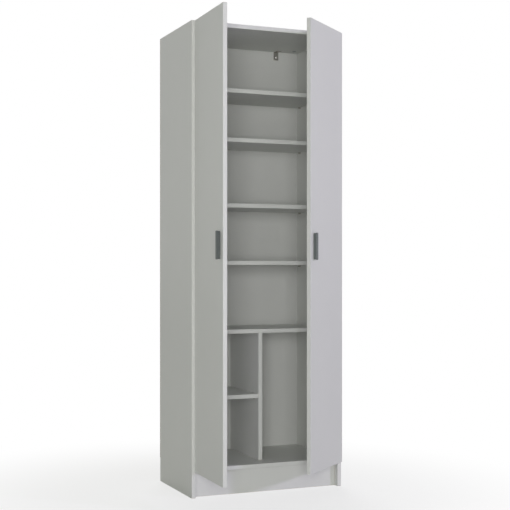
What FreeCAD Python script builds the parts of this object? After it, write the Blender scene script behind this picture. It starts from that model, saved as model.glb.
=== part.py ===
import FreeCAD, Part
import math
import os

from FreeCAD import Vector

# Tall two-door storage cupboard of melamine-faced board, sizes in millimetres.
# X runs to the right, Y to the back, Z up. The origin is the middle of the plinth's underside.
# Everything is drawn with the doors shut, and the doors are then swung on their hinges.

# Overall sizes
cupboard_height = 1800.0
cupboard_width = 630.0
side_depth = 380.0
panel_thickness = 16.0
back_thickness = 3.0
edge_ease = 0.5
overrun = 1.0

# Flat sides that stand for a circle on the many small round pieces
nail_sides = 4
screw_sides = 6
cam_sides = 8
cup_sides = 16

# Plinth, shelves and divider
plinth_height = 96.0
plinth_recess = 25.0
shelf_setback = 80.0
hole_pitch = 32.0
middle_shelf_underside = 611.0
shelf_4_underside = 879.0
shelf_3_level_share = 0.25
shelf_2_level_share = 0.53
shelf_1_level_share = 0.74
half_shelf_underside = 356.0
shelf_end_gap = 0.5

# Doors, shut: reveals around them and the gap to the carcass
door_thickness = 16.0
door_side_reveal = 1.5
door_middle_gap = 3.0
door_top_reveal = 1.0
door_bottom_lap = 14.0
door_back_gap = 2.0
left_door_angle = 91.6
right_door_angle = 40.7
door_bumper_radius = 4.0
door_bumper_gap = 0.3
door_bumper_inset = 20.0

# Cup hinges: places in plan, across from the side's outer face and back from the carcass front
hinges_per_door = 3
hinge_end_distance = 100.0
arm_pivot_across = 27.5
arm_pivot_back = 28.5
cup_pivot_across = 9.3
cup_pivot_back = -5.8
link_knee_across = 16.0
link_knee_back = -10.5
link_turn_share = 0.25
link_half_width = 2.1
link_half_height = 4.5
link_eye_radius = 2.6
link_side_gap = 0.7
running_fit = 0.05

# Hinge cup
cup_edge_distance = 4.0
cup_radius = 17.4
cup_depth = 12.8
cup_wall = 0.8
cup_seat_gap = 0.1
flange_thickness = 1.0
flange_half_width = 19.0
flange_half_height = 28.5
flange_corner = 7.0
cup_screw_spacing = 45.0
cup_screw_offset = 9.5
cup_pin_radius = 1.25
cup_ear_thickness = 2.2
cup_ear_margin = 1.4

# Hinge arm and its mounting plate
arm_reach_back = 76.0
arm_nose = 4.5
arm_height = 17.0
arm_wall = 1.5
arm_pin_radius = 1.5
plate_thickness = 2.0
plate_line = 37.0
plate_wing_length = 18.0
plate_wing_half_height = 23.0
plate_wing_corner = 6.0
plate_screw_spacing = 32.0
plate_front = 34.0
rib_front = 47.0
rib_height = 10.0
rib_side_gap = 0.2
arm_screw_back = 66.0

# Screws, nails and pins
cup_screw_radius = 1.75
cup_screw_length = 12.0
plate_screw_radius = 2.5
plate_screw_length = 11.0
arm_screw_radius = 2.0
arm_screw_length = 12.0
handle_screw_radius = 2.0
screw_head_share = 1.9
screw_head_height_share = 0.55
nail_radius = 0.8
nail_length = 17.0
nail_head_radius = 2.0
nail_head_height = 0.8
shelf_pin_radius = 2.5
shelf_pin_length = 17.0
shelf_pin_insert = 8.0
shelf_pin_head_radius = 3.5
shelf_pin_setback = 35.0
hole_end_gap = 1.0

# Knock-down joints of the carcass
cam_radius = 7.5
cam_height = 12.0
cam_distance = 34.0
cam_setback = 45.0
cam_bolt_radius = 3.4
cam_bolt_in_side = 11.0
dowel_radius = 4.0
dowel_length = 30.0
dowel_in_side = 10.0
plinth_dowel_setback = 25.0
divider_dowel_setback = 60.0

# Back panel nails and the wall bracket
nail_rows = 6
nail_end_distance = 40.0
nail_joint_share = 0.25
bracket_spacing = 400.0
bracket_width = 22.0
bracket_leg = 34.0
bracket_thickness = 2.0
bracket_hole_radius = 3.0
bracket_hole_drop = 22.0
bracket_screw_distance = 22.0
bracket_screw_radius = 2.0
bracket_screw_length = 13.0

# Handles: moulded pulls
handle_length = 102.0
handle_width = 14.0
handle_projection = 16.0
handle_waist = 10.0
handle_edge_distance = 30.0
handle_corner = 3.0
handle_foot = 2.5
handle_end_slope = 2.0
handle_screw_spacing = 64.0
handle_screw_grip = 9.0

# Places worked out from the sizes
half_width = cupboard_width / 2
inner_half_width = half_width - panel_thickness
front_y = -(plinth_recess + panel_thickness / 2)
back_y = front_y + side_depth
shelf_front_y = front_y + shelf_setback
bottom_top = plinth_height + panel_thickness
top_underside = cupboard_height - panel_thickness
pitches_over_shelf_4 = (top_underside - shelf_4_underside) / hole_pitch
shelf_3_underside = shelf_4_underside + hole_pitch * round(pitches_over_shelf_4 * shelf_3_level_share)
shelf_2_underside = shelf_4_underside + hole_pitch * round(pitches_over_shelf_4 * shelf_2_level_share)
shelf_1_underside = shelf_4_underside + hole_pitch * round(pitches_over_shelf_4 * shelf_1_level_share)
door_bottom = bottom_top - door_bottom_lap
door_top = cupboard_height - door_top_reveal
door_left = -half_width + door_side_reveal
door_right = -door_middle_gap / 2
door_inner_y = front_y - door_back_gap
door_outer_y = door_inner_y - door_thickness
cup_x = door_left + cup_edge_distance + cup_radius
arm_pivot = Vector(-half_width + arm_pivot_across, front_y + arm_pivot_back, 0)
cup_pivot = Vector(-half_width + cup_pivot_across, front_y + cup_pivot_back, 0)
link_knee = Vector(-half_width + link_knee_across, front_y + link_knee_back, 0)
UP = Vector(0, 0, 1)
RIGHT = Vector(1, 0, 0)
BACK = Vector(0, 1, 0)


def box(low_x, high_x, low_y, high_y, low_z, high_z):
    corner = Vector(low_x, low_y, low_z)
    return Part.makeBox(high_x - low_x, high_y - low_y, high_z - low_z, corner)


def ring(radius, height, sides):
    """The corners of a regular outline whose flats lie radius away from the axis."""
    reach = radius / math.cos(math.pi / sides)
    half_step = math.pi / sides
    turns = [half_step * (2 * side + 1) for side in range(sides)]
    return [Vector(reach * math.cos(turn), reach * math.sin(turn), height) for turn in turns]


def polygon_face(corners):
    return Part.Face(Part.makePolygon(corners + corners[:1]))


def band(lower, upper):
    """The flat faces between two rings of corners."""
    following = list(range(1, len(lower))) + [0]
    return [polygon_face([lower[i], lower[j], upper[j], upper[i]]) for i, j in enumerate(following)]


def faceted(points, start, direction, sides):
    """Carry an outline of (radius, height) points round an axis at start along direction."""
    faces = []
    for (radius, height), (next_radius, next_height) in zip(points, points[1:]):
        if radius == 0:
            faces.append(polygon_face(ring(next_radius, next_height, sides)))
        elif next_radius == 0:
            faces.append(polygon_face(ring(radius, height, sides)))
        else:
            faces.extend(band(ring(radius, height, sides), ring(next_radius, next_height, sides)))
    solid = Part.makeSolid(Part.makeShell(faces)).removeSplitter()
    if solid.Volume < 0:
        solid.reverse()
    solid.Placement = FreeCAD.Placement(start, FreeCAD.Rotation(UP, direction))
    return solid


def rod(radius, start, direction, length, sides):
    return faceted([(0, 0), (radius, 0), (radius, length), (0, length)], start, direction, sides)


def round_rod(radius, start, direction, length):
    """A true round rod, for a pin that something turns on or a hole that something else is put in."""
    return Part.makeCylinder(radius, length, start, direction)


def eased_box(low_x, high_x, low_y, high_y, low_z, high_z, picks):
    """A board whose edges that picks chooses have a small chamfer."""
    board = box(low_x, high_x, low_y, high_y, low_z, high_z)
    edges = [edge for edge in board.Edges if picks(edge.BoundBox)]
    return board.makeChamfer(edge_ease, edges)


def on_front(low_y):
    return lambda bounds: abs(bounds.YMax - low_y) < edge_ease / 2


def drilled(board, cutters):
    return board.cut(Part.makeCompound(cutters)) if cutters else board


def mirrored(shape):
    return shape.mirror(Vector(0, 0, 0), RIGHT)


def both_sides(shape):
    return [shape, mirrored(shape)]


def countersunk_screw(radius, length, head_top, direction):
    """A screw whose flat head ends at head_top and whose shank runs along direction."""
    head_radius = radius * screw_head_share
    head_height = radius * screw_head_height_share
    points = [(0, 0), (head_radius, 0), (radius, head_height), (radius, length), (0, length)]
    return faceted(points, head_top, direction, screw_sides)


def screw_hole(radius, length, head_top, direction):
    """The hole for a countersunk screw, a running fit larger all round."""
    shank = radius + running_fit
    head = radius * screw_head_share + running_fit
    height = radius * screw_head_height_share
    depth = length + hole_end_gap
    points = [(0, -overrun), (head, -overrun), (head, 0), (shank, height), (shank, depth), (0, depth)]
    return faceted(points, head_top, direction, screw_sides)


def pointed_screw(radius, length, head_top, direction):
    """A wood screw: a flat head at head_top and a shank that tapers to its point."""
    head_radius = radius * screw_head_share
    head_height = radius * screw_head_height_share
    points = [(0, 0), (head_radius, 0), (radius, head_height), (0, length)]
    return faceted(points, head_top, direction, screw_sides)


def pointed_hole(radius, length, head_top, direction):
    """The hole that a wood screw fills, a running fit larger all round."""
    shank = radius + running_fit
    head = radius * screw_head_share + running_fit
    height = radius * screw_head_height_share
    points = [(0, -overrun), (head, -overrun), (head, 0), (shank, height), (0, length + hole_end_gap)]
    return faceted(points, head_top, direction, screw_sides)


# Carcass joints

def cross_panels():
    """Each board that is cammed between the sides: its underside, front and back."""
    return [
        (plinth_height, front_y, back_y),
        (top_underside, front_y, back_y),
        (middle_shelf_underside, shelf_front_y, back_y),
    ]


def cam_places():
    """Left-hand cam places as (y, underside of the board)."""
    places = []
    for underside, front, back in cross_panels():
        places.append((front + cam_setback, underside))
        places.append((back - cam_setback, underside))
    return places


def dowel_axes():
    """The left-hand dowels: where each starts in the side, and its direction."""
    axes = []
    for underside, front, back in cross_panels():
        level = underside + panel_thickness / 2
        axes.append((Vector(-inner_half_width - dowel_in_side, (front + back) / 2, level), RIGHT))
    for level in (plinth_dowel_setback, plinth_height - plinth_dowel_setback):
        axes.append((Vector(-inner_half_width - dowel_in_side, 0, level), RIGHT))
    return axes


def divider_dowel_axes():
    """The dowels at the divider's ends: where each starts in the board it stands against."""
    axes = []
    for y in (shelf_front_y + divider_dowel_setback, back_y - divider_dowel_setback):
        axes.append((Vector(0, y, bottom_top - dowel_in_side), UP))
        axes.append((Vector(0, y, middle_shelf_underside + dowel_in_side), -UP))
    return axes


def dowel_hole(axis):
    start, direction = axis
    beyond = direction * hole_end_gap
    depth = dowel_length + 2 * hole_end_gap
    return rod(dowel_radius + running_fit, start - beyond, direction, depth, screw_sides)


def side_dowel_holes():
    return [dowel_hole(axis) for axis in dowel_axes()]


def divider_dowel_holes():
    return [dowel_hole(axis) for axis in divider_dowel_axes()]


def cam_bolt(y, underside):
    level = underside + panel_thickness / 2
    start = Vector(-inner_half_width - cam_bolt_in_side, y, level)
    return rod(cam_bolt_radius, start, RIGHT, cam_bolt_in_side + cam_distance, screw_sides)


def cam_bolt_hole(y, underside):
    """The bore for a cam bolt, in the side and in the cross board's end."""
    level = underside + panel_thickness / 2
    depth = cam_bolt_in_side + hole_end_gap
    start = Vector(-inner_half_width - depth, y, level)
    length = depth + cam_distance + hole_end_gap
    return rod(cam_bolt_radius + running_fit, start, RIGHT, length, screw_sides)


def cam(y, underside):
    """A cam disc with the slot that takes the bolt's head."""
    start = Vector(-inner_half_width + cam_distance, y, underside)
    disc = rod(cam_radius, start, UP, cam_height, cam_sides)
    return disc.cut(cam_bolt_hole(y, underside))


def cam_hole(y, underside):
    start = Vector(-inner_half_width + cam_distance, y, underside - overrun)
    depth = cam_height + overrun + hole_end_gap
    return rod(cam_radius + running_fit, start, UP, depth, cam_sides)


def cam_bolt_holes():
    return [cam_bolt_hole(*place) for place in cam_places()]


# Shelf pins

def adjustable_shelves():
    """Each loose shelf: name, underside, its left end and its right end."""
    left = -inner_half_width
    right = inner_half_width
    return [
        ("shelf_1", shelf_1_underside, left, right),
        ("shelf_2", shelf_2_underside, left, right),
        ("shelf_3", shelf_3_underside, left, right),
        ("shelf_4", shelf_4_underside, left, right),
        ("half_shelf", half_shelf_underside, left, -panel_thickness / 2),
    ]


def pin_ys():
    return (shelf_front_y + shelf_pin_setback, back_y - shelf_pin_setback)


def shelf_pin(wall_x, y, underside, direction):
    """A pin in the wall at wall_x, pointing along direction, with the shelf on its head."""
    start = Vector(wall_x, y, underside - shelf_pin_head_radius) - direction * shelf_pin_insert
    points = [
        (0, 0), (shelf_pin_radius, 0), (shelf_pin_radius, shelf_pin_insert),
        (shelf_pin_head_radius, shelf_pin_insert), (shelf_pin_head_radius, shelf_pin_length),
        (0, shelf_pin_length),
    ]
    return faceted(points, start, direction, screw_sides)


def pin_hole(wall_x, y, underside, direction):
    start = Vector(wall_x, y, underside - shelf_pin_head_radius) + direction * overrun
    depth = shelf_pin_insert + hole_end_gap + overrun
    return rod(shelf_pin_radius + running_fit, start, -direction, depth, screw_sides)


def pin_holes(underside, wall_x, direction):
    """The pin holes for one shelf end: its own and a spare one pitch above it."""
    holes = []
    for y in pin_ys():
        for step in (0, hole_pitch):
            holes.append(pin_hole(wall_x, y, underside + step, direction))
    return holes


def shelf_pins(underside, left, right):
    """The four pins under one loose shelf."""
    pins = []
    for y in pin_ys():
        pins.append(shelf_pin(left, y, underside, RIGHT))
        pins.append(shelf_pin(right, y, underside, -RIGHT))
    return pins


# Boards of the carcass

def side_pin_holes(right_side):
    holes = []
    for name, underside, left, right in adjustable_shelves():
        if right_side and right == inner_half_width:
            holes.extend(pin_holes(underside, right, -RIGHT))
        if not right_side:
            holes.extend(pin_holes(underside, left, RIGHT))
    return holes


def plain_side_panel():
    """The left side with the holes that both sides share."""
    board = eased_box(-half_width, -inner_half_width, front_y, back_y, 0, cupboard_height,
                      on_front(front_y))
    cutters = cam_bolt_holes() + side_dowel_holes() + nail_holes()
    for level in hinge_levels():
        cutters.extend(plate_screw_holes(level))
    return drilled(board, cutters)


def left_side_panel():
    return drilled(plain_side_panel(), side_pin_holes(False))


def right_side_panel():
    return drilled(mirrored(plain_side_panel()), side_pin_holes(True))


def cross_panel(underside, front, back):
    """A board cammed between the sides, drilled at both ends."""
    board = eased_box(-inner_half_width, inner_half_width, front, back, underside,
                      underside + panel_thickness, on_front(front))
    cutters = cam_bolt_holes() + side_dowel_holes()
    for y, level in cam_places():
        cutters.append(cam_hole(y, level))
    cutters.extend([mirrored(cutter) for cutter in cutters])
    return drilled(board, cutters)


def bottom_panel():
    board = cross_panel(plinth_height, front_y, back_y)
    return drilled(board, divider_dowel_holes() + nail_holes())


def top_panel():
    board = cross_panel(top_underside, front_y, back_y)
    return drilled(board, bracket_screw_holes() + nail_holes())


def middle_shelf():
    board = cross_panel(middle_shelf_underside, shelf_front_y, back_y)
    return drilled(board, divider_dowel_holes() + nail_holes())


def plinth_board():
    board = eased_box(-inner_half_width, inner_half_width, -panel_thickness / 2, panel_thickness / 2,
                      0, plinth_height, on_front(-panel_thickness / 2))
    holes = side_dowel_holes()
    return drilled(board, holes + [mirrored(hole) for hole in holes])


def divider():
    board = eased_box(-panel_thickness / 2, panel_thickness / 2, shelf_front_y, back_y, bottom_top,
                      middle_shelf_underside, on_front(shelf_front_y))
    holes = pin_holes(half_shelf_underside, -panel_thickness / 2, -RIGHT)
    return drilled(board, divider_dowel_holes() + holes)


def loose_shelf(underside, left, right):
    """A shelf that lies on its pins, a little shorter than the space it fills."""
    return eased_box(left + shelf_end_gap, right - shelf_end_gap, shelf_front_y,
                     back_y - shelf_end_gap, underside, underside + panel_thickness,
                     on_front(shelf_front_y))


# Back panels, nails and wall brackets

def back_joint_level():
    return middle_shelf_underside + panel_thickness / 2


def nail_places():
    """Nails in the left half of the back as (x, z)."""
    edge_x = -half_width + panel_thickness / 2
    low = plinth_height + nail_end_distance
    high = cupboard_height - nail_end_distance
    places = []
    for row in range(nail_rows):
        places.append((edge_x, low + (high - low) * row / (nail_rows - 1)))
    row_x = -inner_half_width / 2
    for level in (plinth_height, top_underside):
        places.append((row_x, level + panel_thickness / 2))
    aside = panel_thickness * nail_joint_share
    for level in (back_joint_level() - aside, back_joint_level() + aside):
        places.append((row_x, level))
    return places


def nail(x, z):
    """A square cut nail driven flush into the back, tapering to its point."""
    start = Vector(x, back_y + back_thickness, z)
    points = [(0, 0), (nail_head_radius, 0), (nail_radius, nail_head_height), (0, nail_length)]
    return faceted(points, start, -BACK, nail_sides)


def nail_hole(x, z):
    start = Vector(x, back_y + back_thickness, z)
    head = nail_head_radius + running_fit
    shank = nail_radius + running_fit
    depth = nail_length + hole_end_gap
    points = [(0, -overrun), (head, -overrun), (head, 0), (shank, nail_head_height), (0, depth)]
    return faceted(points, start, -BACK, nail_sides)


def nail_holes():
    holes = [nail_hole(*place) for place in nail_places()]
    return holes + [mirrored(hole) for hole in holes]


def bracket_xs():
    return (-bracket_spacing / 2, bracket_spacing / 2)


def bracket_hole_level():
    return top_underside - bracket_hole_drop


def wall_hole(x):
    """The hole for a wall screw, through the bracket and the back."""
    start = Vector(x, back_y - bracket_thickness - overrun, bracket_hole_level())
    depth = bracket_thickness + back_thickness + 2 * overrun
    return round_rod(bracket_hole_radius, start, BACK, depth)


def wall_bracket(x):
    """A steel angle under the top, its upright leg on the back's inner face."""
    low_x = x - bracket_width / 2
    high_x = x + bracket_width / 2
    flat = box(low_x, high_x, back_y - bracket_leg, back_y, top_underside - bracket_thickness,
               top_underside)
    upright = box(low_x, high_x, back_y - bracket_thickness, back_y, top_underside - bracket_leg,
                  top_underside)
    angle = flat.fuse(upright).removeSplitter()
    return drilled(angle, [wall_hole(x), bracket_screw_hole(x)])


def bracket_screw_place(x):
    level = top_underside - bracket_thickness
    return Vector(x, back_y - bracket_screw_distance, level)


def bracket_screw(x):
    return pointed_screw(bracket_screw_radius, bracket_screw_length, bracket_screw_place(x), UP)


def bracket_screw_hole(x):
    return pointed_hole(bracket_screw_radius, bracket_screw_length, bracket_screw_place(x), UP)


def bracket_screw_holes():
    return [bracket_screw_hole(x) for x in bracket_xs()]


def back_panel(low_z, high_z):
    board = box(-half_width, half_width, back_y, back_y + back_thickness, low_z, high_z)
    return drilled(board, nail_holes() + [wall_hole(x) for x in bracket_xs()])


# Cup hinges, drawn for the left door when it is shut

def hinge_levels():
    low = door_bottom + hinge_end_distance
    high = door_top - hinge_end_distance
    return [low + (high - low) * step / (hinges_per_door - 1) for step in range(hinges_per_door)]


def cup_screw_places(level):
    x = cup_x + cup_screw_offset
    y = door_inner_y + flange_thickness
    half = cup_screw_spacing / 2
    return [Vector(x, y, level - half), Vector(x, y, level + half)]


def cup_ears(level):
    """Two lugs on the well's wall, one on each side of the link, that hold the pin."""
    mouth = Vector(cup_x, door_inner_y, level)
    well = rod(cup_radius, mouth, -BACK, cup_depth, cup_sides)
    reach = cup_pin_radius + cup_ear_margin
    inner = link_half_height + link_side_gap
    ears = []
    for low in (level - inner - cup_ear_thickness, level + inner):
        lug = box(cup_x - cup_radius, cup_pivot.x + reach, cup_pivot.y - reach, cup_pivot.y + reach,
                  low, low + cup_ear_thickness)
        ears.append(well.common(lug))
    return ears


def hinge_cup(level):
    """The pressed cup in the door: a round well, its flange and the slot for the link."""
    mouth = Vector(cup_x, door_inner_y, level)
    well = rod(cup_radius, mouth, -BACK, cup_depth, cup_sides)
    plate = box(cup_x - flange_half_width, cup_x + flange_half_width, door_inner_y,
                door_inner_y + flange_thickness, level - flange_half_height,
                level + flange_half_height)
    corners = [edge for edge in plate.Edges if edge.Length <= flange_thickness + running_fit]
    plate = plate.makeChamfer(flange_corner, corners)
    above = flange_thickness + overrun
    hollow = rod(cup_radius - cup_wall, mouth + BACK * above, -BACK, cup_depth - cup_wall + above,
                 cup_sides)
    slot_half = link_half_height + link_side_gap
    slot_floor = cup_pivot.y - link_eye_radius - link_side_gap
    slot = box(cup_x - flange_half_width - overrun, cup_pivot.x, slot_floor, door_inner_y + above,
               level - slot_half, level + slot_half)
    cutters = [hollow, slot]
    for place in cup_screw_places(level):
        cutters.append(pointed_hole(cup_screw_radius, cup_screw_length, place, -BACK))
    shell = well.fuse(plate).cut(Part.makeCompound(cutters))
    bore_start = Vector(cup_pivot.x, cup_pivot.y, level - cup_radius)
    bore = rod(cup_pin_radius, bore_start, UP, 2 * cup_radius, screw_sides)
    lugs = [lug.cut(bore) for lug in cup_ears(level)]
    return shell.fuse(lugs).removeSplitter()


def cup_pin(level):
    """The pin across the cup that the link swings on, ending flush with the ears."""
    reach = link_half_height + link_side_gap + cup_ear_thickness
    start = Vector(cup_pivot.x, cup_pivot.y, level - reach)
    return round_rod(cup_pin_radius, start, UP, 2 * reach)


def cup_screws(level):
    return [pointed_screw(cup_screw_radius, cup_screw_length, place, -BACK)
            for place in cup_screw_places(level)]


def door_hinge_cuts(level):
    """The well and the pilot holes in the door for one cup."""
    mouth = Vector(cup_x, door_inner_y + overrun, level)
    depth = cup_depth + cup_seat_gap + overrun
    cuts = [rod(cup_radius + cup_seat_gap, mouth, -BACK, depth, cup_sides)]
    for place in cup_screw_places(level):
        cuts.append(pointed_hole(cup_screw_radius, cup_screw_length, place, -BACK))
    return cuts


def strip(start, end, low_z, high_z):
    """A straight bar of the link in plan from start to end, with square ends."""
    along = end - start
    along.normalize()
    across = Vector(-along.y, along.x, 0) * link_half_width
    corners = [start + across, start - across, end - across, end + across]
    corners = [Vector(corner.x, corner.y, low_z) for corner in corners]
    return polygon_face(corners).extrude(UP * (high_z - low_z))


def hinge_link(level):
    """The cranked link from the arm's pin round the side's edge to the cup's pin."""
    low = level - link_half_height
    high = level + link_half_height
    height = high - low
    body = strip(arm_pivot, link_knee, low, high)
    body = body.fuse(strip(link_knee, cup_pivot, low, high))
    for centre, radius in ((arm_pivot, link_eye_radius), (cup_pivot, link_eye_radius),
                           (link_knee, link_half_width)):
        body = body.fuse(rod(radius, Vector(centre.x, centre.y, low), UP, height, cam_sides))
    cutters = []
    for centre, radius in ((arm_pivot, arm_pin_radius), (cup_pivot, cup_pin_radius)):
        start = Vector(centre.x, centre.y, low - overrun)
        cutters.append(rod(radius + running_fit, start, UP, height + 2 * overrun, screw_sides))
    return body.cut(Part.makeCompound(cutters)).removeSplitter()


def arm_cheek_half():
    return link_half_height + link_side_gap


def hinge_arm(level):
    """The channel that carries the link's pin, open towards the side panel."""
    front = arm_pivot.y - arm_nose
    back = front_y + arm_reach_back
    inner = arm_cheek_half()
    outer = inner + arm_wall
    low_x = -inner_half_width + plate_thickness + rib_side_gap
    high_x = -inner_half_width + arm_height
    shell = box(low_x, high_x, front, back, level - outer, level + outer)
    top_corners = [edge for edge in shell.Edges
                   if edge.BoundBox.XMin > high_x - running_fit and edge.Length > 2 * outer + arm_wall]
    shell = shell.makeChamfer(arm_wall / 2, top_corners)
    hollow = box(low_x - overrun, high_x - arm_wall, front - overrun, back + overrun,
                 level - inner, level + inner)
    pin_start = Vector(arm_pivot.x, arm_pivot.y, level - outer - overrun)
    pin_cut = rod(arm_pin_radius, pin_start, UP, 2 * (outer + overrun), screw_sides)
    screw_cut = screw_hole(arm_screw_radius, arm_screw_length, arm_screw_place(level), -RIGHT)
    return shell.cut(Part.makeCompound([hollow, pin_cut, screw_cut]))


def arm_pin(level):
    reach = arm_cheek_half() + arm_wall
    start = Vector(arm_pivot.x, arm_pivot.y, level - reach)
    return round_rod(arm_pin_radius, start, UP, 2 * reach)


def arm_screw_place(level):
    return Vector(-inner_half_width + arm_height, front_y + arm_screw_back, level)


def arm_screw(level):
    return countersunk_screw(arm_screw_radius, arm_screw_length, arm_screw_place(level), -RIGHT)


def plate_screw_places(level):
    x = -inner_half_width + plate_thickness
    half = plate_screw_spacing / 2
    y = front_y + plate_line
    return [Vector(x, y, level - half), Vector(x, y, level + half)]


def plate_screws(level):
    return [pointed_screw(plate_screw_radius, plate_screw_length, place, -RIGHT)
            for place in plate_screw_places(level)]


def plate_screw_holes(level):
    return [pointed_hole(plate_screw_radius, plate_screw_length, place, -RIGHT)
            for place in plate_screw_places(level)]


def mounting_plate(level):
    """The winged plate on the side panel, with the rib that the arm straddles."""
    low_x = -inner_half_width
    high_x = low_x + plate_thickness
    rib_half = arm_cheek_half() - rib_side_gap
    wing_low = front_y + plate_line - plate_wing_length / 2
    wing = box(low_x, high_x, wing_low, wing_low + plate_wing_length,
               level - plate_wing_half_height, level + plate_wing_half_height)
    corners = [edge for edge in wing.Edges if edge.Length <= plate_thickness + running_fit]
    wing = wing.makeChamfer(plate_wing_corner, corners)
    back = front_y + arm_reach_back
    foot = box(low_x, high_x, front_y + plate_front, back, level - rib_half, level + rib_half)
    rib = box(low_x, low_x + rib_height, front_y + rib_front, back, level - rib_half,
              level + rib_half)
    plate = wing.fuse(foot).fuse(rib).removeSplitter()
    cutters = plate_screw_holes(level)
    cutters.append(screw_hole(arm_screw_radius, arm_screw_length, arm_screw_place(level), -RIGHT))
    return plate.cut(Part.makeCompound(cutters))


# Doors and handles, drawn for the left door when it is shut

def handle_x():
    return door_right - handle_edge_distance


def handle_level():
    return (door_bottom + door_top) / 2


def handle_screw_places():
    half = handle_screw_spacing / 2
    return [Vector(handle_x(), door_inner_y, handle_level() + step) for step in (-half, half)]


def handle_section(level, inset):
    """The pull's outline in plan: a narrow foot, a waist and a wider rounded front."""
    centre = handle_x()
    base = door_outer_y
    front = base - handle_projection + inset
    waist = handle_waist / 2 - inset / 2
    wide = handle_width / 2 - inset / 2
    foot = base - handle_foot
    shoulder = front + handle_corner
    left = [Vector(centre - wide, base, level), Vector(centre - wide, foot, level),
            Vector(centre - waist, (foot + shoulder) / 2, level), Vector(centre - wide, shoulder, level)]
    right = [Vector(2 * centre - point.x, point.y, level) for point in reversed(left)]
    crown = Part.Arc(left[-1], Vector(centre, front, level), right[0]).toShape()
    sides = [Part.LineSegment(left[i], left[i + 1]).toShape() for i in range(len(left) - 1)]
    sides.append(crown)
    sides += [Part.LineSegment(right[i], right[i + 1]).toShape() for i in range(len(right) - 1)]
    sides.append(Part.LineSegment(right[-1], left[0]).toShape())
    return Part.Wire(Part.__sortEdges__(sides))


def handle():
    """A moulded pull whose ends taper a little."""
    low = handle_level() - handle_length / 2
    high = handle_level() + handle_length / 2
    sections = [
        handle_section(low, handle_end_slope),
        handle_section(low + handle_corner, 0),
        handle_section(high - handle_corner, 0),
        handle_section(high, handle_end_slope),
    ]
    body = Part.makeLoft(sections, True, True)
    cutters = []
    for place in handle_screw_places():
        start = Vector(place.x, door_outer_y + overrun, place.z)
        depth = handle_screw_grip + hole_end_gap + overrun
        cutters.append(rod(handle_screw_radius + running_fit, start, -BACK, depth, screw_sides))
    return body.cut(Part.makeCompound(cutters))


def handle_screw(place):
    length = door_thickness + handle_screw_grip
    return countersunk_screw(handle_screw_radius, length, place, -BACK)


def door_bumper_places():
    x = door_right - door_bumper_inset
    top = cupboard_height - panel_thickness / 2
    bottom = plinth_height + panel_thickness / 2
    return [Vector(x, door_inner_y, top), Vector(x, door_inner_y, bottom)]


def door_bumper(place):
    return rod(door_bumper_radius, place, BACK, door_back_gap - door_bumper_gap, cam_sides)


def door():
    board = box(door_left, door_right, door_outer_y, door_inner_y, door_bottom, door_top)
    board = board.makeChamfer(edge_ease, board.Edges)
    cutters = []
    for level in hinge_levels():
        cutters.extend(door_hinge_cuts(level))
    for place in handle_screw_places():
        length = door_thickness + handle_screw_grip
        cutters.append(screw_hole(handle_screw_radius, length, place, -BACK))
    return drilled(board, cutters)


# Opening of the doors

def turned(point, centre, angle):
    turn = math.radians(angle)
    across = point.x - centre.x
    along = point.y - centre.y
    x = centre.x + across * math.cos(turn) - along * math.sin(turn)
    y = centre.y + across * math.sin(turn) + along * math.cos(turn)
    return Vector(x, y, 0)


def link_swing(shape, opening):
    """Turn a left-hand piece with the link when the door is open by opening degrees."""
    moved = shape.copy()
    moved.rotate(arm_pivot, UP, opening * link_turn_share)
    return moved


def door_swing(shape, opening):
    """Carry a left-hand piece with the door when it is open by opening degrees."""
    moved = shape.copy()
    moved.rotate(cup_pivot, UP, -opening)
    moved.translate(turned(cup_pivot, arm_pivot, opening * link_turn_share) - cup_pivot)
    return moved


def hinge_group(make):
    shapes = []
    for level in hinge_levels():
        made = make(level)
        shapes.extend(made if isinstance(made, list) else [made])
    return Part.makeCompound(shapes)


# All nodes

def carcass_nodes():
    nodes = {
        "left_side_panel": left_side_panel(),
        "right_side_panel": right_side_panel(),
        "top_panel": top_panel(),
        "bottom_panel": bottom_panel(),
        "plinth_board": plinth_board(),
        "middle_shelf": middle_shelf(),
        "divider": divider(),
        "upper_back": back_panel(back_joint_level(), cupboard_height),
        "lower_back": back_panel(plinth_height, back_joint_level()),
    }
    for name, underside, left, right in adjustable_shelves():
        nodes[name] = loose_shelf(underside, left, right)
        nodes[name + "_pins"] = Part.makeCompound(shelf_pins(underside, left, right))
    return nodes


def fastener_nodes():
    cams = []
    bolts = []
    for place in cam_places():
        cams.extend(both_sides(cam(*place)))
        bolts.extend(both_sides(cam_bolt(*place)))
    dowels = []
    for start, direction in dowel_axes():
        dowels.extend(both_sides(rod(dowel_radius, start, direction, dowel_length, screw_sides)))
    for start, direction in divider_dowel_axes():
        dowels.append(rod(dowel_radius, start, direction, dowel_length, screw_sides))
    nails = []
    for place in nail_places():
        nails.extend(both_sides(nail(*place)))
    return {
        "cam_locks": Part.makeCompound(cams),
        "cam_bolts": Part.makeCompound(bolts),
        "wooden_dowels": Part.makeCompound(dowels),
        "back_nails": Part.makeCompound(nails),
        "wall_brackets": Part.makeCompound([wall_bracket(x) for x in bracket_xs()]),
        "wall_bracket_screws": Part.makeCompound([bracket_screw(x) for x in bracket_xs()]),
    }


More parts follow.
